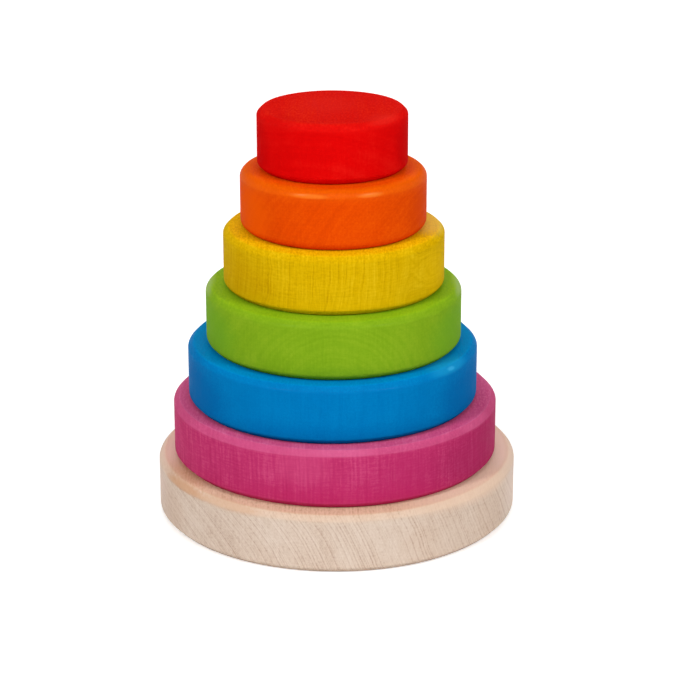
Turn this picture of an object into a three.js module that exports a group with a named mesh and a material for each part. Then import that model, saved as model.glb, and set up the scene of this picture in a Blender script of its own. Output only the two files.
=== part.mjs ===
// Wooden stacking tower: a natural base disc with a glued peg, five coloured
// rings that drop over the peg, and a solid-topped cap that hides the peg's end.
// Millimetres, +Z up. The origin is the centre of the base's underside.

import * as THREE from "three";

// Discs: one thickness of board, with diameters that shrink by one step per level.
const DISC_THICKNESS = 20;
const TOP_DISC_DIAMETER = 50;
const DIAMETER_STEP = 12;
const EDGE_BEVEL = 1.8;

// Peg: a dowel glued into a blind socket in the base, with a rounded free end.
const PEG_DIAMETER = 15;
const PEG_END_ROUND = 3;
const PEG_FOOT_CHAMFER = 1;
const PEG_GLUE_GAP = 0.2;
const SOCKET_FLOOR = 6;

// Rings: a loose bore for small hands, and a blind bore in the cap.
const RING_PLAY = 2.5; // radial, between the peg and a centred bore
const BORE_CHAMFER = 1;
const CAP_ROOF = 7;
const CAP_HEADROOM = 3; // between the peg's end and the cap's roof

// Facets.
const ROUND_SEGMENTS = 72;
const ROUND_STEPS = 5;

// Finish: sanded wood under a thin satin stain.
const STAIN_ROUGHNESS = 0.55;
const NATURAL_ROUGHNESS = 0.7;
const NATURAL_WOOD = 0xdec9b7;
const PEG_WOOD = 0xd9bd98;

// The rings from the bottom up. None sits exactly centred: playX and playY say how much
// of its play each one has taken up, sideways and in depth.
const RINGS = [
  { name: "pink_ring", colour: 0xc4376c, playX: -0.24, playY: 0.08 },
  { name: "blue_ring", colour: 0x007abd, playX: -0.54, playY: -0.2 },
  { name: "green_ring", colour: 0x81a91c, playX: -0.38, playY: -0.48 },
  { name: "yellow_ring", colour: 0xdaaf03, playX: -0.33, playY: -0.4 },
  { name: "orange_ring", colour: 0xe84c04, playX: -0.38, playY: -0.32 },
];
const CAP = { name: "red_cap", colour: 0xe1090a, playX: -0.5, playY: 0.12 };

// What follows from the sizes above.
const LEVELS = RINGS.length + 2;
const PEG_RADIUS = PEG_DIAMETER / 2;
const BORE_RADIUS = PEG_RADIUS + RING_PLAY;
const SOCKET_RADIUS = PEG_RADIUS + PEG_GLUE_GAP;
const CAP_BORE_DEPTH = DISC_THICKNESS - CAP_ROOF;
const CAP_LEVEL = LEVELS - 1;
const PEG_TOP = CAP_LEVEL * DISC_THICKNESS + CAP_BORE_DEPTH - CAP_HEADROOM;
const PEG_LENGTH = PEG_TOP - SOCKET_FLOOR;

function discRadius(level) {
  return (TOP_DISC_DIAMETER + DIAMETER_STEP * (CAP_LEVEL - level)) / 2;
}

function point(radius, height) {
  return new THREE.Vector2(radius, height);
}

// A profile of radius and height, turned about +Z.
function turned(profile) {
  return new THREE.LatheGeometry(profile, ROUND_SEGMENTS).rotateX(Math.PI / 2);
}

// The bevelled rim that every disc shares, from its underside up to its top face.
function rimProfile(radius) {
  return [
    point(radius - EDGE_BEVEL, 0),
    point(radius, EDGE_BEVEL),
    point(radius, DISC_THICKNESS - EDGE_BEVEL),
    point(radius - EDGE_BEVEL, DISC_THICKNESS),
  ];
}

// A disc bored right through, with both mouths of the bore chamfered.
function ringGeometry(radius) {
  const rim = rimProfile(radius);
  const bore = [
    point(BORE_RADIUS + BORE_CHAMFER, DISC_THICKNESS),
    point(BORE_RADIUS, DISC_THICKNESS - BORE_CHAMFER),
    point(BORE_RADIUS, BORE_CHAMFER),
    point(BORE_RADIUS + BORE_CHAMFER, 0),
  ];
  return turned([...rim, ...bore, rim[0]]);
}

// A disc with a blind bore in its underside and a plain top face.
function capGeometry(radius) {
  return turned([
    point(0, CAP_BORE_DEPTH),
    point(BORE_RADIUS, CAP_BORE_DEPTH),
    point(BORE_RADIUS, BORE_CHAMFER),
    point(BORE_RADIUS + BORE_CHAMFER, 0),
    ...rimProfile(radius),
    point(0, DISC_THICKNESS),
  ]);
}

// A disc with a plain underside and a blind socket in its top face.
function baseGeometry(radius) {
  return turned([
    point(0, 0),
    ...rimProfile(radius),
    point(SOCKET_RADIUS, DISC_THICKNESS),
    point(SOCKET_RADIUS, SOCKET_FLOOR),
    point(0, SOCKET_FLOOR),
  ]);
}

// A dowel with a chamfered foot and a rounded free end.
function pegGeometry() {
  const profile = [
    point(0, 0),
    point(PEG_RADIUS - PEG_FOOT_CHAMFER, 0),
    point(PEG_RADIUS, PEG_FOOT_CHAMFER),
  ];
  const roundRadius = PEG_RADIUS - PEG_END_ROUND;
  const roundHeight = PEG_LENGTH - PEG_END_ROUND;
  for (let step = 0; step <= ROUND_STEPS; step += 1) {
    const angle = (Math.PI / 2) * (step / ROUND_STEPS);
    const radius = roundRadius + PEG_END_ROUND * Math.cos(angle);
    const height = roundHeight + PEG_END_ROUND * Math.sin(angle);
    profile.push(point(radius, height));
  }
  profile.push(point(0, PEG_LENGTH));
  return turned(profile);
}

function woodMaterial(colour, roughness) {
  return new THREE.MeshStandardMaterial({ color: colour, roughness, metalness: 0 });
}

function woodMesh(name, geometry, material) {
  const mesh = new THREE.Mesh(geometry, material);
  mesh.name = name;
  return mesh;
}

function baseDisc() {
  const material = woodMaterial(NATURAL_WOOD, NATURAL_ROUGHNESS);
  return woodMesh("base_disc", baseGeometry(discRadius(0)), material);
}

function peg() {
  const mesh = woodMesh("peg", pegGeometry(), woodMaterial(PEG_WOOD, NATURAL_ROUGHNESS));
  mesh.position.z = SOCKET_FLOOR;
  return mesh;
}

// A coloured disc on its level, moved off the peg's axis within its play.
function stackedDisc(disc, level, geometry) {
  const mesh = woodMesh(disc.name, geometry, woodMaterial(disc.colour, STAIN_ROUGHNESS));
  mesh.position.set(disc.playX * RING_PLAY, disc.playY * RING_PLAY, level * DISC_THICKNESS);
  return mesh;
}

const tower = new THREE.Group();
tower.add(baseDisc(), peg());
RINGS.forEach((ring, index) => {
  const level = index + 1;
  tower.add(stackedDisc(ring, level, ringGeometry(discRadius(level))));
});
tower.add(stackedDisc(CAP, CAP_LEVEL, capGeometry(discRadius(CAP_LEVEL))));

export default tower;
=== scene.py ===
import math
from dataclasses import dataclass

import bpy
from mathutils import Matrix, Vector


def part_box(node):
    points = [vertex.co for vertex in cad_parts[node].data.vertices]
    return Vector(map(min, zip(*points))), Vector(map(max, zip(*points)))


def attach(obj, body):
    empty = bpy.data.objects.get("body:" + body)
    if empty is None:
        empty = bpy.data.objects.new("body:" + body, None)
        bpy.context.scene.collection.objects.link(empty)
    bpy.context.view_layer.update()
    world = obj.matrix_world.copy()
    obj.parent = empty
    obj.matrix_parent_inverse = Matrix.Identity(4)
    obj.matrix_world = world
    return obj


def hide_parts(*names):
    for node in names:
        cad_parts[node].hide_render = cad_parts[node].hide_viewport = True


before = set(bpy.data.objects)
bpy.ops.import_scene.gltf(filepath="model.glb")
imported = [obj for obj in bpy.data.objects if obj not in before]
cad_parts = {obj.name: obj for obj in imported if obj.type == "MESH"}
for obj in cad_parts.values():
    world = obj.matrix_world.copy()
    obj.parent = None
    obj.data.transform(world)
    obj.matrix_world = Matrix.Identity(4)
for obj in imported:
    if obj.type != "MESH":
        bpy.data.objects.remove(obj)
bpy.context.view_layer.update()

# Sizes in metres.
MM = 0.001
TO_MM = (1 / MM,) * 3
EDGE_BEVEL = 1.8 * MM
BORE_CHAMFER = 1.0 * MM
BORE_SOFTENING = 0.5 * MM
RING_PLAY = 2.5 * MM
PEG_GLUE_GAP = 0.2 * MM
PEG_END_ROUND = 3.0 * MM
PEG_FOOT_CHAMFER = 1.0 * MM
CAP_ROOF = 7.0 * MM
WEAR_REACH = 0.6 * MM
RELIEF_DEPTH = 0.15 * MM

PEG_LOW, PEG_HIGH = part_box("peg")
PEG_RADIUS = (PEG_HIGH.x - PEG_LOW.x) / 2
BORE_RADIUS = PEG_RADIUS + RING_PLAY

# How hand sanding swings the bevel's width: waves round the rim, and shares of the bevel.
SANDING_WAVES = ((2, 0.05), (3, 0.04), (7, 0.02))

# Facets.
TURN_STEPS = 240
ARC_STEPS = 5

# The photograph's camera.
CAMERA_LENS_MM = 125.0
CAMERA_SENSOR_MM = 36.0
CAMERA_DISTANCE = 0.8266
CAMERA_PITCH = math.radians(19.714)
CAMERA_TARGET = Vector((0.00456, 0.0, 0.0552))

# Light, where 1 lights a white surface to white.
# Lamps: name, azimuth, elevation, width, height and level.
SKY_LIGHT = 0.2
LAMP_DISTANCE = 2.2
LAMPS = [
    ("front", 0.0, 45.0, 2.4, 2.4, 0.36),
    ("front_left", -46.0, 42.0, 0.22, 0.22, 0.29),
    ("front_right", 50.0, 42.0, 0.22, 0.22, 0.29),
    ("above", 0.0, 85.0, 1.0, 1.0, 0.08),
    ("back", 180.0, 45.0, 1.6, 1.6, 0.2),
]

# The floor: pale paper, lifted to white for the eye, more so far away from the toy.
WHITE = (1.0, 1.0, 1.0, 1.0)
FLOOR_COLOUR = (0.93, 0.93, 0.93, 1.0)
FLOOR_HALF = 12.0
FLOOR_NEAR = 0.6
FLOOR_FAR = 3.0
FLOOR_LIFT_NEAR = 0.4
FLOOR_LIFT_FAR = 0.8


@dataclass
class Pattern:
    """A noise: its stretch on each axis, scale per millimetre, detail and the range that shows."""

    stretch: tuple
    scale: float
    detail: float
    shown: tuple


# Patterns in the grain, where X runs across it, Y along it and Z through the board:
# long threads, clouds, short stubs of fibre, dark dashes, and how unevenly an edge is rubbed.
FIBRE = Pattern((1.0, 0.05, 1.0), 1.3, 3.0, (0.3, 0.7))
MOTTLE = Pattern((1.0, 0.35, 1.0), 0.07, 4.0, (0.25, 0.75))
GRIT = Pattern((1.0, 0.3, 1.0), 1.6, 3.0, (0.25, 0.75))
FLECK = Pattern((1.6, 0.35, 0.7), 1.0, 1.0, (0.66, 0.74))
RUBBING = Pattern((1.0, 0.05, 1.0), 0.9, 3.0, (-0.6, 0.8))
NOISE_ROUGHNESS = 0.55

# Marks of the making: strokes of sanding, and the cutter's upright marks round the wall,
# whose rise is how little they change per millimetre of height.
SANDING = Pattern((0.12, 0.12, 1.0), 1.8, 2.0, (0.3, 0.7))
MILLING_RISE = 0.0016
MILLING_SCALE = 70.0
MILLING_DETAIL = 3.0
MILLING_SHOWN = (0.3, 0.7)

# Growth rings: their stretch and slow waves along the grain, and a start of its own for each wood.
PITH_STRETCH = (1.0, 0.04, 1.0)
SWELL_STRETCH = (1.0, 0.12, 1.0)
SWELL_SCALE = 0.05
SWELL_DETAIL = 3.0
SWELL_GAIN = 4.0
KNOT_STRETCH = (1.0, 0.1, 0.7)
LINE_DETAIL = 2.0
BAND_DETAIL = 1.0
BAND_SHOWN = (0.2, 0.8)
RING_OFFSET = 37.0

# Patches: how ragged they are, and where between centre and bounds they fade.
PATCH_RAGGEDNESS = 0.15
PATCH_FADE = (0.35, 1.0)

# Faces, by the upward share of their normal: where the board's face begins, where hands rub an edge,
# and where its burnished slant ends.
UP = (0.0, 0.0, 1.0)
BOARD_FACE = (0.6, 1.0)
HANDLED_TILT = (-0.2, 0.4)
SLANT_END = (0.62, 0.86)

# Finish: how far the growth lines fade on a board's face, how rough a burnished edge is,
# how far the patterns vary the roughness, and the share of each pattern in the relief.
FACE_LINE_FADE = 0.5
EDGE_GLOSS_ROUGHNESS = 0.23
FIBRE_ROUGHNESS = 0.1
MOTTLE_ROUGHNESS = 0.08
RELIEF_SHARE = 0.5


@dataclass
class Patch:
    """A patch of colour in the wood, either a stain or painted light and shade: centre and half sizes
    in millimetres, turn in degrees, colour, strength.
    """

    centre: tuple
    half: tuple
    heading: float
    colour: tuple
    strength: float


@dataclass
class Knot:
    """A hidden knot: its place across the grain and its height, its reach and its push outward."""

    across: float
    height: float
    reach: float
    push: float


@dataclass
class Wood:
    """A piece of wood. Colours are in 0 to 255 steps, lengths in millimetres, tones are shares."""

    # The wall's deepest, middle and palest colours, and the middle colour of the board's faces.
    deep: tuple
    body: tuple
    pale: tuple
    face: tuple

    # Growth rings: their centre across the grain and its height, spacings, and how far they stray.
    pith: tuple = (-150.0, 10.0)
    line_spacing: float = 1.2
    line_shown: tuple = (0.25, 0.7)
    band_spacing: float = 5.0
    wobble: float = 1.0
    knot: Knot = None

    # How strongly each pattern changes the colour. face_grit is how much more grit the faces show.
    line_tone: float = 0.2
    band_tone: float = 0.15
    fibre_tone: float = 0.1
    milling_tone: float = 0.15
    sanding_tone: float = 0.08
    mottle_tone: float = 0.2
    grit_tone: float = 0.15
    face_grit: float = 1.5
    fleck_tone: float = 0.0

    # Stains over the grain, and painted light and shade.
    patches: tuple = ()

    # Edges: the colour and share of their wear, their polish, and the radius of their corners.
    worn: tuple = (255, 255, 255)
    wear: float = 0.0
    polish: float = 0.0
    softening: float = 1.2

    # Surface: its shine, its relief, and the number that sets its growth rings and bevel apart.
    roughness: float = 0.6
    gloss: float = 0.03
    relief: float = 0.25
    seed: float = 0.0


@dataclass
class Disc:
    """A turned piece of the tower: its name, the node it stands for, its body, slot and wood. The slot
    is not used.
    """

    piece: str
    node: str
    body: str
    slot: str
    wood: Wood


NATURAL = Wood(
    deep=(184, 150, 130), body=(217, 196, 178), pale=(230, 213, 198), face=(219, 186, 157),
    worn=(224, 190, 160), wear=0.4,
    pith=(-89.0, -35.0), line_spacing=0.5, line_shown=(0.25, 0.65), band_spacing=4.0, wobble=0.6,
    line_tone=0.4, band_tone=0.14, fibre_tone=0.18, mottle_tone=0.25, grit_tone=0.2,
    fleck_tone=0.12, softening=1.1, roughness=0.7, gloss=0.06, seed=1.0,
    patches=(
        # Brown streaks along the left of the upper edge.
        Patch((-50.5, -32.5, 18.6), (3.0, 19.0, 1.8), 32.8, (196, 138, 96), 0.8),
        Patch((-50.0, -22.0, 20.0), (7.0, 22.0, 3.0), 20.0, (214, 160, 122), 0.5),
        Patch((-36.0, -48.5, 19.2), (3.5, 22.0, 2.6), 53.4, (212, 172, 142), 0.7),
        # A pale right half of the top, and a faintly darker wall on both sides.
        Patch((45.0, -32.0, 20.0), (36.0, 36.0, 6.0), 0.0, (236, 208, 186), 0.7),
        Patch((51.0, -34.0, 8.0), (12.0, 18.0, 13.0), 0.0, (206, 172, 146), 0.2),
        Patch((-56.0, -26.0, 8.0), (10.0, 16.0, 13.0), 0.0, (204, 168, 142), 0.2),
        # Pale outer sides and pale strips of top, painted light that lifts the shade beside the pink
        # disc, and a darker wall at the front right.
        Patch((60.0, 2.0, 14.0), (14.0, 36.0, 22.0), 0.0, (238, 216, 202), 0.75),
        Patch((-60.0, 2.0, 14.0), (14.0, 32.0, 22.0), 0.0, (234, 210, 196), 0.65),
        Patch((34.0, -50.0, 8.0), (26.0, 18.0, 16.0), 0.0, (212, 176, 148), 0.12),
        Patch((58.0, 4.0, 20.4), (8.0, 30.0, 2.4), 0.0, (248, 216, 196), 0.6),
        Patch((-58.0, 4.0, 20.4), (8.0, 30.0, 2.4), 0.0, (248, 206, 190), 0.5),
        # Painted shade along the foot all round, darkening the lower edge.
        Patch((0.0, 0.0, 0.0), (100.0, 100.0, 2.2), 0.0, (130, 100, 80), 0.35),
    ),
)
PEG_WOOD = Wood(
    deep=(190, 156, 116), body=(217, 189, 152), pale=(232, 210, 180), face=(206, 176, 138),
    pith=(-30.0, 0.0), line_spacing=1.4, line_tone=0.4, fleck_tone=0.3,
    roughness=0.7, gloss=0.06, seed=2.0,
)
PINK = Wood(
    deep=(176, 38, 92), body=(193, 52, 106), pale=(212, 80, 130), face=(214, 84, 131),
    worn=(230, 130, 172), wear=0.2, polish=0.03,
    pith=(-220.0, 5.0), line_spacing=0.9, band_spacing=6.0, wobble=0.6,
    milling_tone=0.24, sanding_tone=0.18, face_grit=0.8, softening=0.3, gloss=0.02, seed=3.0,
    patches=(
        # Painted shade, deeper at the right and along the foot, and a paler spot at the front.
        Patch((52.0, -24.0, 8.0), (34.0, 44.0, 18.0), 0.0, (156, 26, 80), 0.55),
        Patch((24.0, -50.0, 8.0), (17.0, 12.0, 17.0), 0.0, (182, 38, 96), 0.5),
        Patch((0.0, -50.0, 0.0), (60.0, 40.0, 11.0), 0.0, (190, 36, 96), 0.5),
        Patch((-11.0, -54.0, 15.0), (13.0, 9.0, 9.0), 0.0, (212, 82, 130), 0.3),
        # Upper edge: a painted highlight, paler at the front and the right; deeper at the left.
        Patch((3.0, -53.6, 19.2), (14.0, 4.0, 1.8), 0.0, (228, 112, 158), 0.25),
        Patch((46.5, -26.0, 19.2), (8.0, 16.0, 2.0), 0.0, (220, 104, 148), 0.2),
        Patch((-27.0, -46.0, 19.0), (14.0, 8.0, 2.0), -30.0, (200, 62, 118), 0.35),
    ),
)
BLUE = Wood(
    deep=(0, 106, 174), body=(0, 119, 186), pale=(4, 134, 199), face=(0, 136, 205), polish=0.04,
    pith=(-180.0, 20.0), line_spacing=1.5, line_tone=0.06, band_tone=0.1, fibre_tone=0.06,
    milling_tone=0.08, roughness=0.5, gloss=0.005, seed=4.0,
    patches=(
        # Painted shade, deeper on both sides and along the foot.
        Patch((-48.0, -20.0, 8.0), (22.0, 34.0, 14.0), 0.0, (0, 96, 164), 0.7),
        Patch((48.0, -20.0, 8.0), (22.0, 34.0, 14.0), 0.0, (0, 96, 164), 0.7),
        Patch((0.0, -40.0, 0.0), (60.0, 34.0, 9.0), 0.0, (0, 92, 160), 0.35),
        # A painted sheen along the right edge, with a small painted glint.
        Patch((38.0, -27.0, 19.4), (12.0, 14.0, 2.4), 0.0, (30, 156, 208), 0.5),
        Patch((39.0, -28.0, 18.9), (1.1, 2.8, 1.0), -35.6, (60, 174, 224), 0.6),
    ),
)
GREEN = Wood(
    deep=(110, 152, 16), body=(128, 168, 26), pale=(148, 182, 38), face=(138, 180, 22),
    pith=(1.0, -5.0), line_spacing=1.6, line_tone=0.17, band_tone=0.1,
    mottle_tone=0.25, polish=0.04, softening=1.8, gloss=0.015, seed=5.0,
    patches=(
        # Greener sides.
        Patch((-42.0, -16.0, 8.0), (17.0, 28.0, 14.0), 0.0, (104, 162, 32), 0.6),
        Patch((42.0, -16.0, 8.0), (17.0, 28.0, 14.0), 0.0, (104, 162, 32), 0.6),
        # Painted highlights on the edges at both sides, and painted shade at the foot at the front.
        Patch((-42.0, 2.0, 19.0), (3.5, 18.0, 1.8), 0.0, (196, 212, 150), 0.35),
        Patch((42.0, 2.0, 19.0), (3.5, 18.0, 1.8), 0.0, (196, 212, 150), 0.35),
        Patch((0.0, -38.0, 0.0), (22.0, 16.0, 7.0), 0.0, (104, 152, 26), 0.5),
    ),
)
YELLOW = Wood(
    deep=(194, 148, 0), body=(216, 173, 2), pale=(230, 192, 24), face=(234, 186, 2),
    pith=(-230.0, 30.0), line_spacing=0.7, band_spacing=6.0, wobble=1.2,
    knot=Knot(across=36.0, height=9.0, reach=14.0, push=-14.0),
    line_tone=0.36, milling_tone=0.27, sanding_tone=0.22, grit_tone=0.2, face_grit=2.5,
    softening=1.4, gloss=0.005, seed=6.0,
    patches=(
        # A thinly stained right of the top, a deeper left and a brighter right, and a foot lifted with
        # painted light where the ring below shades it.
        Patch((32.0, 4.0, 20.0), (9.0, 20.0, 2.6), 0.0, (240, 206, 110), 0.45),
        Patch((-36.0, -18.0, 7.0), (28.0, 32.0, 15.0), 0.0, (188, 136, 0), 0.35),
        Patch((34.0, -14.0, 9.0), (9.0, 18.0, 12.0), 0.0, (232, 186, 2), 0.35),
        Patch((0.0, -30.0, 0.0), (50.0, 30.0, 7.0), 0.0, (236, 190, 4), 0.35),
    ),
)
ORANGE = Wood(
    deep=(212, 60, 0), body=(228, 74, 2), pale=(240, 94, 8), face=(229, 78, 3),
    worn=(246, 122, 0), wear=0.3, polish=0.1,
    pith=(60.0, -30.0), line_tone=0.13, band_tone=0.1, fibre_tone=0.15,
    milling_tone=0.1, grit_tone=0.16,
    softening=2.6, roughness=0.5, gloss=0.005, relief=0.2, seed=7.0,
    patches=(
        # A brighter left and a deeper right.
        Patch((-27.0, -14.0, 8.0), (12.0, 17.0, 14.0), 0.0, (246, 92, 0), 0.6),
        Patch((29.0, -12.0, 9.0), (8.0, 18.0, 12.0), 0.0, (206, 60, 2), 0.35),
        # Two painted highlights, streaks along the front of the upper edge.
        Patch((-7.7, -29.8, 18.3), (9.0, 1.8, 1.0), -14.6, (252, 150, 50), 0.4),
        Patch((12.3, -28.4, 18.3), (6.0, 1.8, 1.0), 23.6, (252, 156, 64), 0.4),
    ),
)
RED = Wood(
    deep=(196, 0, 2), body=(222, 6, 6), pale=(234, 38, 28), face=(216, 11, 4),
    worn=(238, 44, 34), wear=0.12,
    pith=(-6.0, -26.0), line_spacing=1.8, line_tone=0.06, band_tone=0.08, fibre_tone=0.08,
    milling_tone=0.06, sanding_tone=0.04, mottle_tone=0.15, grit_tone=0.06, face_grit=6.0,
    softening=1.6, roughness=0.7, gloss=0.006, seed=8.0,
    patches=(
        # Painted shade at the sides, and a paler middle of the top.
        Patch((-24.0, -8.0, 9.0), (6.0, 14.0, 12.0), 0.0, (192, 0, 4), 0.4),
        Patch((24.0, -8.0, 9.0), (6.0, 14.0, 12.0), 0.0, (188, 0, 4), 0.5),
        Patch((-1.0, 3.0, 20.0), (14.0, 14.0, 3.0), 0.0, (222, 34, 24), 0.3),
        # Upper edge: deeper at the left, and a painted sheen at the right.
        Patch((-17.0, -17.0, 19.4), (9.0, 9.0, 2.2), 0.0, (204, 2, 4), 0.55),
        Patch((17.5, -16.0, 19.4), (9.0, 10.0, 1.2), 0.0, (238, 56, 44), 0.25),
    ),
)

BASE = Disc("natural_base", "base_disc", "base", "natural_wood", NATURAL)
DOWEL = Disc("dowel", "peg", "base", "peg_wood", PEG_WOOD)
RINGS = [
    Disc("pink_disc", "pink_ring", "pink", "pink_stain", PINK),
    Disc("blue_disc", "blue_ring", "blue", "blue_stain", BLUE),
    Disc("green_disc", "green_ring", "green", "green_stain", GREEN),
    Disc("yellow_disc", "yellow_ring", "yellow", "yellow_stain", YELLOW),
    Disc("orange_disc", "orange_ring", "orange", "orange_stain", ORANGE),
]
CAP = Disc("red_disc", "red_cap", "red", "red_stain", RED)


def linear(colour):
    """A screen colour in 0 to 255 steps as linear light with full alpha."""
    shares = [step / 255 for step in colour]
    light = [s / 12.92 if s <= 0.04045 else ((s + 0.055) / 1.055) ** 2.4 for s in shares]
    return (*light, 1.0)


class Graph:
    """Short forms for making and joining a material's nodes."""

    def __init__(self, material):
        material.use_nodes = True
        self.tree = material.node_tree
        self.tree.nodes.clear()

    def add(self, kind, inputs, **settings):
        """A node with its settings made, and its inputs set to values or linked to outputs."""
        node = self.tree.nodes.new(kind)
        for name, value in settings.items():
            setattr(node, name, value)
        for name, value in inputs.items():
            socket = node.inputs[name]
            if isinstance(value, bpy.types.NodeSocket):
                self.tree.links.new(value, socket)
            else:
                socket.default_value = value
        return node

    def math(self, operation, first, second=0.0):
        node = self.add("ShaderNodeMath", {0: first, 1: second}, operation=operation)
        return node.outputs[0]

    def vector(self, operation, first, second=(0.0, 0.0, 0.0), output="Vector"):
        node = self.add("ShaderNodeVectorMath", {0: first, 1: second}, operation=operation)
        return node.outputs[output]

    def length(self, vector):
        return self.vector("LENGTH", vector, output="Value")

    def noise(self, place, scale, detail):
        sizes = {"Vector": place, "Scale": scale, "Detail": detail, "Roughness": NOISE_ROUGHNESS}
        return self.add("ShaderNodeTexNoise", sizes).outputs["Fac"]

    def noise_along(self, distance, scale, detail):
        sizes = {"W": distance, "Scale": scale, "Detail": detail, "Roughness": NOISE_ROUGHNESS}
        return self.add("ShaderNodeTexNoise", sizes, noise_dimensions="1D").outputs["Fac"]

    def spread(self, value, low, high):
        """The value with low to high stretched to 0 to 1, eased at both ends."""
        ends = {"Value": value, "From Min": low, "From Max": high}
        node = self.add("ShaderNodeMapRange", ends, interpolation_type="SMOOTHSTEP")
        return node.outputs["Result"]

    def pattern(self, place, pattern):
        """A pattern at that place, from 0 to 1."""
        stretched = self.vector("MULTIPLY", place, pattern.stretch)
        return self.spread(self.noise(stretched, pattern.scale, pattern.detail), *pattern.shown)

    def ramp(self, factor, stops):
        """The colour at that factor between stops of position and colour."""
        node = self.add("ShaderNodeValToRGB", {"Fac": factor})
        elements = node.color_ramp.elements
        while len(elements) < len(stops):
            elements.new(0.5)
        for element, (position, colour) in zip(elements, stops):
            element.position = position
            element.color = colour
        return node.outputs["Color"]

    def blend(self, factor, first, second):
        node = self.add("ShaderNodeMix", {0: factor, 6: first, 7: second}, data_type="RGBA")
        return node.outputs[2]

    def tint(self, factor, colour, before, after):
        """The colour scaled as from before to after, so that its grain stays."""
        pairs = zip(linear(before)[:3], linear(after)[:3])
        ratio = [new / old if old else 1.0 for old, new in pairs]
        return self.blend(factor, colour, self.vector("MULTIPLY", colour, ratio))

    def total(self, start, shares):
        """start plus each value's distance from a half, times its share."""
        result = start
        for value, share in shares:
            centred = self.math("SUBTRACT", value, 0.5)
            scaled = self.math("MULTIPLY", centred, share)
            result = self.math("ADD", scaled, result)
        return result


# Wood.

@dataclass
class Place:
    """Where a point lies in the grain and in the piece, in millimetres, and which way it faces."""

    grain: bpy.types.NodeSocket
    local: bpy.types.NodeSocket
    upward: bpy.types.NodeSocket
    level: bpy.types.NodeSocket
    wall: bpy.types.NodeSocket


@dataclass
class Figure:
    """The patterns of a wood at a point, each from 0 to 1."""

    lines: bpy.types.NodeSocket
    bands: bpy.types.NodeSocket
    fibre: bpy.types.NodeSocket
    mottle: bpy.types.NodeSocket
    grit: bpy.types.NodeSocket
    milling: bpy.types.NodeSocket
    sanding: bpy.types.NodeSocket


def wood_place(graph, upright_grain):
    coordinates = graph.add("ShaderNodeTexCoord", {})
    turn = (math.pi / 2 if upright_grain else 0.0, 0.0, 0.0)
    mapping = {"Vector": coordinates.outputs["Object"], "Rotation": turn, "Scale": TO_MM}
    grain = graph.add("ShaderNodeMapping", mapping).outputs["Vector"]
    local = graph.vector("MULTIPLY", coordinates.outputs["Object"], TO_MM)
    upward = graph.vector("DOT_PRODUCT", coordinates.outputs["Normal"], UP, "Value")
    level = graph.math("ABSOLUTE", upward)
    wall = graph.math("SUBTRACT", 1.0, level)
    return Place(grain, local, upward, level, wall)


def growth_wobble(graph, grain, wobble):
    """How far the growth rings stray, in slow waves along the grain."""
    stretched = graph.vector("MULTIPLY", grain, SWELL_STRETCH)
    swell = graph.noise(stretched, SWELL_SCALE, SWELL_DETAIL)
    return graph.math("MULTIPLY", graph.math("SUBTRACT", swell, 0.5), SWELL_GAIN * wobble)


def knot_push(graph, grain, knot):
    """How far a knot pushes the growth rings out, falling off with the distance from it."""
    away = graph.vector("SUBTRACT", grain, (knot.across, 0.0, knot.height))
    distance = graph.length(graph.vector("MULTIPLY", away, KNOT_STRETCH))
    near = graph.math("SUBTRACT", 1.0, graph.spread(distance, 0.0, knot.reach))
    return graph.math("MULTIPLY", near, knot.push)


def growth_rings(graph, grain, wood):
    """Fine growth lines and broad bands, round a pith that lies along the grain."""
    pith_x, pith_z = wood.pith
    away = graph.vector("SUBTRACT", grain, (pith_x, 0.0, pith_z))
    radius = graph.length(graph.vector("MULTIPLY", away, PITH_STRETCH))
    strayed = graph.math("ADD", radius, growth_wobble(graph, grain, wood.wobble))
    reach = graph.math("ADD", strayed, wood.seed * RING_OFFSET)
    if wood.knot:
        reach = graph.math("ADD", reach, knot_push(graph, grain, wood.knot))
    lines = graph.noise_along(reach, 1 / wood.line_spacing, LINE_DETAIL)
    bands = graph.noise_along(reach, 1 / wood.band_spacing, BAND_DETAIL)
    return graph.spread(lines, *wood.line_shown), graph.spread(bands, *BAND_SHOWN)


def milling_marks(graph, local):
    """Fine upright marks round the wall, left by the cutter."""
    sideways = graph.vector("MULTIPLY", local, (1.0, 1.0, 0.0))
    upright = graph.vector("MULTIPLY", local, (0.0, 0.0, MILLING_RISE))
    marks_place = graph.vector("ADD", graph.vector("NORMALIZE", sideways), upright)
    return graph.spread(graph.noise(marks_place, MILLING_SCALE, MILLING_DETAIL), *MILLING_SHOWN)


def wood_figure(graph, place, wood):
    lines, bands = growth_rings(graph, place.grain, wood)
    return Figure(
        lines=lines,
        bands=bands,
        fibre=graph.pattern(place.grain, FIBRE),
        mottle=graph.pattern(place.grain, MOTTLE),
        grit=graph.pattern(place.grain, GRIT),
        milling=milling_marks(graph, place.local),
        sanding=graph.pattern(place.local, SANDING),
    )


def wood_tone(graph, place, figure, wood):
    """From 0 for the wood's deepest colour to 1 for its palest."""
    coarse = graph.math("ADD", 1.0, graph.math("MULTIPLY", place.level, wood.face_grit))
    clear = graph.math("SUBTRACT", 1.0, graph.math("MULTIPLY", place.level, FACE_LINE_FADE))
    tone = graph.total(0.5, [
        (figure.bands, wood.band_tone),
        (figure.fibre, wood.fibre_tone),
        (figure.mottle, wood.mottle_tone),
        (figure.grit, graph.math("MULTIPLY", coarse, wood.grit_tone)),
        (figure.lines, graph.math("MULTIPLY", clear, wood.line_tone)),
        (figure.milling, graph.math("MULTIPLY", place.wall, wood.milling_tone)),
        (figure.sanding, graph.math("MULTIPLY", place.wall, wood.sanding_tone)),
    ])
    if wood.fleck_tone:
        fleck = graph.pattern(place.grain, FLECK)
        tone = graph.math("SUBTRACT", tone, graph.math("MULTIPLY", fleck, wood.fleck_tone))
    return tone


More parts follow.
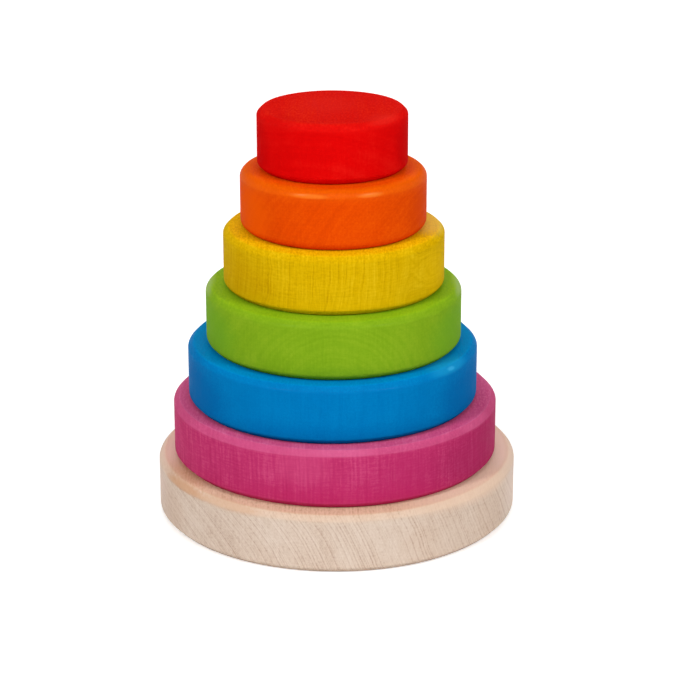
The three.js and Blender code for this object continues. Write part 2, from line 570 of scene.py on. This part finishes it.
def patch_share(graph, local, ragged, patch):
    """1 inside a patch, fading out raggedly at its bounds."""
    turn = (0.0, 0.0, math.radians(patch.heading))
    mapping = {"Vector": local, "Location": patch.centre, "Rotation": turn, "Scale": patch.half}
    inside = graph.add("ShaderNodeMapping", mapping, vector_type="TEXTURE").outputs["Vector"]
    distance = graph.total(graph.length(inside), [(ragged, PATCH_RAGGEDNESS)])
    return graph.math("SUBTRACT", 1.0, graph.spread(distance, *PATCH_FADE))


def handled_edge(graph, place):
    """1 where hands rub an edge, unevenly along the grain, and 0 away from the edges."""
    edge = graph.add("ShaderNodeAttribute", {}, attribute_name="edge").outputs["Fac"]
    rubbed = graph.math("MULTIPLY", edge, graph.pattern(place.grain, RUBBING))
    return graph.math("MULTIPLY", rubbed, graph.spread(place.upward, *HANDLED_TILT))


def wood_colour(graph, place, figure, handled, wood):
    """The grain's colour, then the board's face, the patches and the wear of the edges."""
    tone = wood_tone(graph, place, figure, wood)
    stops = [(0.0, linear(wood.deep)), (0.5, linear(wood.body)), (1.0, linear(wood.pale))]
    board_face = graph.spread(place.level, *BOARD_FACE)
    colour = graph.tint(board_face, graph.ramp(tone, stops), wood.body, wood.face)
    for patch in wood.patches:
        inside = patch_share(graph, place.local, figure.grit, patch)
        share = graph.math("MULTIPLY", inside, patch.strength)
        colour = graph.blend(share, colour, linear(patch.colour))
    if wood.wear:
        worn = graph.math("MULTIPLY", handled, wood.wear)
        colour = graph.blend(worn, colour, linear(wood.worn))
    return colour


def wood_relief(graph, place, figure, relief):
    """The normal of a surface that the grain and the cutter left uneven."""
    height = graph.total(0.5, [
        (figure.lines, RELIEF_SHARE),
        (figure.fibre, RELIEF_SHARE),
        (figure.grit, RELIEF_SHARE),
        (figure.milling, graph.math("MULTIPLY", place.wall, RELIEF_SHARE)),
    ])
    bump = {"Height": height, "Strength": relief, "Distance": RELIEF_DEPTH}
    return graph.add("ShaderNodeBump", bump).outputs["Normal"]


def edge_burnish(graph, place, handled, polish):
    """How far handling has polished the slant of an edge."""
    slanted = graph.math("SUBTRACT", 1.0, graph.spread(place.upward, *SLANT_END))
    return graph.math("MULTIPLY", graph.math("MULTIPLY", handled, slanted), polish)


def wood_material(name, wood, upright_grain):
    """Sanded wood whose grain runs through the solid, bare or under a thin stain."""
    material = bpy.data.materials.new(name)
    graph = Graph(material)
    place = wood_place(graph, upright_grain)
    figure = wood_figure(graph, place, wood)
    handled = handled_edge(graph, place)
    varied = [(figure.fibre, FIBRE_ROUGHNESS), (figure.mottle, MOTTLE_ROUGHNESS)]
    finish = {
        "Base Color": wood_colour(graph, place, figure, handled, wood),
        "Roughness": graph.total(wood.roughness, varied),
        "Normal": wood_relief(graph, place, figure, wood.relief),
        "Specular IOR Level": wood.gloss,
    }
    if wood.polish:
        finish["Coat Weight"] = edge_burnish(graph, place, handled, wood.polish)
        finish["Coat Roughness"] = EDGE_GLOSS_ROUGHNESS
    shader = graph.add("ShaderNodeBsdfPrincipled", finish)
    graph.add("ShaderNodeOutputMaterial", {"Surface": shader.outputs["BSDF"]})
    return material


# Outlines: points of radius and height, each with its edge value, which is 1 on a sanded corner.

def arc_corner(before, corner, after, radius):
    """The corner as an arc of that radius, tangent to both sides."""
    to_before = (before - corner).normalized()
    to_after = (after - corner).normalized()
    half_angle = to_before.angle(to_after) / 2
    centre = corner + (to_before + to_after).normalized() * radius / math.sin(half_angle)
    start = corner + to_before * radius / math.tan(half_angle) - centre
    end = corner + to_after * radius / math.tan(half_angle) - centre
    swing = start.angle_signed(end)
    points = []
    for step in range(ARC_STEPS + 1):
        turn = -swing * step / ARC_STEPS
        cosine, sine = math.cos(turn), math.sin(turn)
        x = start.x * cosine - start.y * sine
        y = start.x * sine + start.y * cosine
        points.append(centre + Vector((x, y)))
    return points


def softened(corners, closed):
    """An outline from corners of point, softening radius and edge."""
    outline = []
    count = len(corners)
    for index, (corner, radius, edge) in enumerate(corners):
        at_end = not closed and index in (0, count - 1)
        if at_end or radius == 0:
            outline.append((corner, edge))
            continue
        before = corners[index - 1][0]
        after = corners[(index + 1) % count][0]
        outline.extend((point, edge) for point in arc_corner(before, corner, after, radius))
    return outline


def corner(radius, height, softening=0.0, edge=0.0):
    return (Vector((radius, height)), softening, edge)


def rim(radius, thickness, bevel, softening):
    """The bevelled rim from the underside to the top face, with its corners sanded."""
    inner = radius - bevel
    top = thickness - bevel
    far = softening + WEAR_REACH
    return [
        corner(inner - far, 0),
        corner(inner, 0, softening, 1),
        corner(radius, bevel, softening, 1),
        corner(radius, bevel + far),
        corner(radius, top - far),
        corner(radius, top, softening, 1),
        corner(inner, thickness, softening, 1),
        corner(inner - far, thickness),
    ]


def ring_outline(radius, thickness, bevel, softening):
    mouth = BORE_RADIUS + BORE_CHAMFER
    bore = [
        corner(mouth, thickness, BORE_SOFTENING, 1),
        corner(BORE_RADIUS, thickness - BORE_CHAMFER, BORE_SOFTENING, 1),
        corner(BORE_RADIUS, BORE_CHAMFER, BORE_SOFTENING, 1),
        corner(mouth, 0, BORE_SOFTENING, 1),
    ]
    return softened(rim(radius, thickness, bevel, softening) + bore, closed=True)


def cap_outline(radius, thickness, bevel, softening):
    roof = thickness - CAP_ROOF
    bore = [
        corner(0, roof),
        corner(BORE_RADIUS, roof, BORE_SOFTENING),
        corner(BORE_RADIUS, BORE_CHAMFER, BORE_SOFTENING, 1),
        corner(BORE_RADIUS + BORE_CHAMFER, 0, BORE_SOFTENING, 1),
    ]
    corners = bore + rim(radius, thickness, bevel, softening) + [corner(0, thickness)]
    return softened(corners, closed=False)


def base_outline(radius, thickness, bevel, softening):
    socket_radius = PEG_RADIUS + PEG_GLUE_GAP
    socket = [
        corner(socket_radius, thickness, PEG_GLUE_GAP),
        corner(socket_radius, PEG_LOW.z),
        corner(0, PEG_LOW.z),
    ]
    corners = [corner(0, 0)] + rim(radius, thickness, bevel, softening) + socket
    return softened(corners, closed=False)


def peg_outline(radius, length, *_):
    """A dowel with a chamfered foot and a rounded free end, and without a disc's bevel."""
    return softened([
        corner(0, 0),
        corner(radius - PEG_FOOT_CHAMFER, 0),
        corner(radius, PEG_FOOT_CHAMFER),
        corner(radius, length, PEG_END_ROUND, 1),
        corner(0, length),
    ], closed=False)


# Turned pieces.

def turned_mesh(name, outline_at):
    """A mesh turned about +Z from the outline at each angle, with its edge values."""
    verts, edges, rows = [], [], []
    for step in range(TURN_STEPS):
        angle = 2 * math.pi * step / TURN_STEPS
        row = []
        for index, (point, edge) in enumerate(outline_at(angle)):
            if point.x == 0 and step > 0:
                row.append(rows[0][index])
                continue
            row.append(len(verts))
            verts.append((point.x * math.cos(angle), point.x * math.sin(angle), point.y))
            edges.append(edge)
        rows.append(row)
    mesh = bpy.data.meshes.new(name)
    mesh.from_pydata(verts, [], turned_faces(rows, verts))
    mesh.attributes.new("edge", "FLOAT", "POINT").data.foreach_set("value", edges)
    mesh.polygons.foreach_set("use_smooth", [True] * len(mesh.polygons))
    mesh.validate()
    return mesh


def turned_faces(rows, verts):
    """The faces between neighbouring rows: quads, or triangles where a point lies on the axis."""
    closed = all(verts[index][:2] != (0.0, 0.0) for index in rows[0])
    spans = len(rows[0]) if closed else len(rows[0]) - 1
    faces = []
    for step, row in enumerate(rows):
        following = rows[(step + 1) % len(rows)]
        for index in range(spans):
            above = (index + 1) % len(row)
            loop = [row[index], following[index], following[above], row[above]]
            faces.append(list(dict.fromkeys(loop)))
    return faces


def sanded_bevel(angle, phase):
    """The bevel's width at that angle round the rim."""
    swing = sum(share * math.sin(waves * angle + phase * waves) for waves, share in SANDING_WAVES)
    return EDGE_BEVEL * (1 + swing)


def turned_piece(disc, outline, upright_grain=False):
    """A turned piece that stands for the disc's node, in the node's own place."""
    low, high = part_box(disc.node)
    radius = (high.x - low.x) / 2
    thickness = high.z - low.z
    softening = disc.wood.softening * MM

    def outline_at(angle):
        return outline(radius, thickness, sanded_bevel(angle, disc.wood.seed), softening)

    mesh = turned_mesh(disc.piece, outline_at)
    mesh.materials.append(wood_material(disc.piece + "_wood", disc.wood, upright_grain))
    piece = bpy.data.objects.new(disc.piece, mesh)
    piece.location = ((low.x + high.x) / 2, (low.y + high.y) / 2, low.z)
    bpy.context.scene.collection.objects.link(piece)
    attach(piece, disc.body)
    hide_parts(disc.node)


def make_tower():
    turned_piece(BASE, base_outline)
    turned_piece(DOWEL, peg_outline, upright_grain=True)
    for ring in RINGS:
        turned_piece(ring, ring_outline)
    turned_piece(CAP, cap_outline)


# Studio.

def make_camera():
    data = bpy.data.cameras.new("camera")
    data.lens = CAMERA_LENS_MM
    data.sensor_width = CAMERA_SENSOR_MM
    camera = bpy.data.objects.new("camera", data)
    back = Vector((0.0, -math.cos(CAMERA_PITCH), math.sin(CAMERA_PITCH)))
    camera.location = CAMERA_TARGET + back * CAMERA_DISTANCE
    camera.rotation_euler = (math.pi / 2 - CAMERA_PITCH, 0.0, 0.0)
    bpy.context.scene.collection.objects.link(camera)
    bpy.context.scene.camera = camera


def make_lamp(name, azimuth, elevation, width, height, level):
    """A soft box. level is the light it gives a white surface that faces it, 1 being white."""
    data = bpy.data.lights.new(name, "AREA")
    data.shape = "RECTANGLE"
    data.size = width
    data.size_y = height
    data.energy = level * (math.pi * LAMP_DISTANCE) ** 2
    lamp = bpy.data.objects.new(name, data)
    turn, rise = math.radians(azimuth), math.radians(elevation)
    away = Vector((math.sin(turn) * math.cos(rise), -math.cos(turn) * math.cos(rise), math.sin(rise)))
    lamp.location = away * LAMP_DISTANCE
    lamp.rotation_euler = away.to_track_quat("Z", "Y").to_euler()
    lamp.visible_camera = False
    bpy.context.scene.collection.objects.link(lamp)


def seen_directly(graph):
    """1 where a camera, mirror or glass ray sees the surface, and 0 for the light that it gives."""
    rays = graph.add("ShaderNodeLightPath", {})
    shine = graph.math("MAXIMUM", rays.outputs["Is Camera Ray"], rays.outputs["Is Glossy Ray"])
    return graph.math("MAXIMUM", shine, rays.outputs["Is Transmission Ray"])


def make_world():
    """A sky that looks white, and lights the toy evenly and less than it looks."""
    world = bpy.data.worlds.new("studio")
    bpy.context.scene.world = world
    graph = Graph(world)
    levels = {"Value": seen_directly(graph), "To Min": SKY_LIGHT, "To Max": 1.0}
    strength = graph.add("ShaderNodeMapRange", levels).outputs["Result"]
    sky = graph.add("ShaderNodeBackground", {"Color": WHITE, "Strength": strength})
    graph.add("ShaderNodeOutputWorld", {"Surface": sky.outputs["Background"]})


def floor_material():
    """Pale paper with a glow for the eye alone, which grows with the distance from the toy."""
    material = bpy.data.materials.new("floor_paper")
    graph = Graph(material)
    paper = graph.add("ShaderNodeBsdfDiffuse", {"Color": FLOOR_COLOUR})
    place = graph.add("ShaderNodeTexCoord", {}).outputs["Object"]
    reach = {
        "Value": graph.length(place), "From Min": FLOOR_NEAR, "From Max": FLOOR_FAR,
        "To Min": FLOOR_LIFT_NEAR, "To Max": FLOOR_LIFT_FAR,
    }
    lift = graph.add("ShaderNodeMapRange", reach).outputs["Result"]
    strength = graph.math("MULTIPLY", seen_directly(graph), lift)
    glow = graph.add("ShaderNodeEmission", {"Color": WHITE, "Strength": strength})
    both = graph.add("ShaderNodeAddShader", {0: paper.outputs["BSDF"], 1: glow.outputs["Emission"]})
    graph.add("ShaderNodeOutputMaterial", {"Surface": both.outputs["Shader"]})
    return material


def make_floor():
    mesh = bpy.data.meshes.new("floor")
    half = FLOOR_HALF
    square = [(-half, -half, 0.0), (half, -half, 0.0), (half, half, 0.0), (-half, half, 0.0)]
    mesh.from_pydata(square, [], [(0, 1, 2, 3)])
    mesh.materials.append(floor_material())
    floor = bpy.data.objects.new("floor", mesh)
    bpy.context.scene.collection.objects.link(floor)


def make_studio():
    make_camera()
    make_world()
    make_floor()
    for lamp in LAMPS:
        make_lamp(*lamp)
    bpy.context.scene.view_settings.view_transform = "Standard"


make_studio()
make_tower()
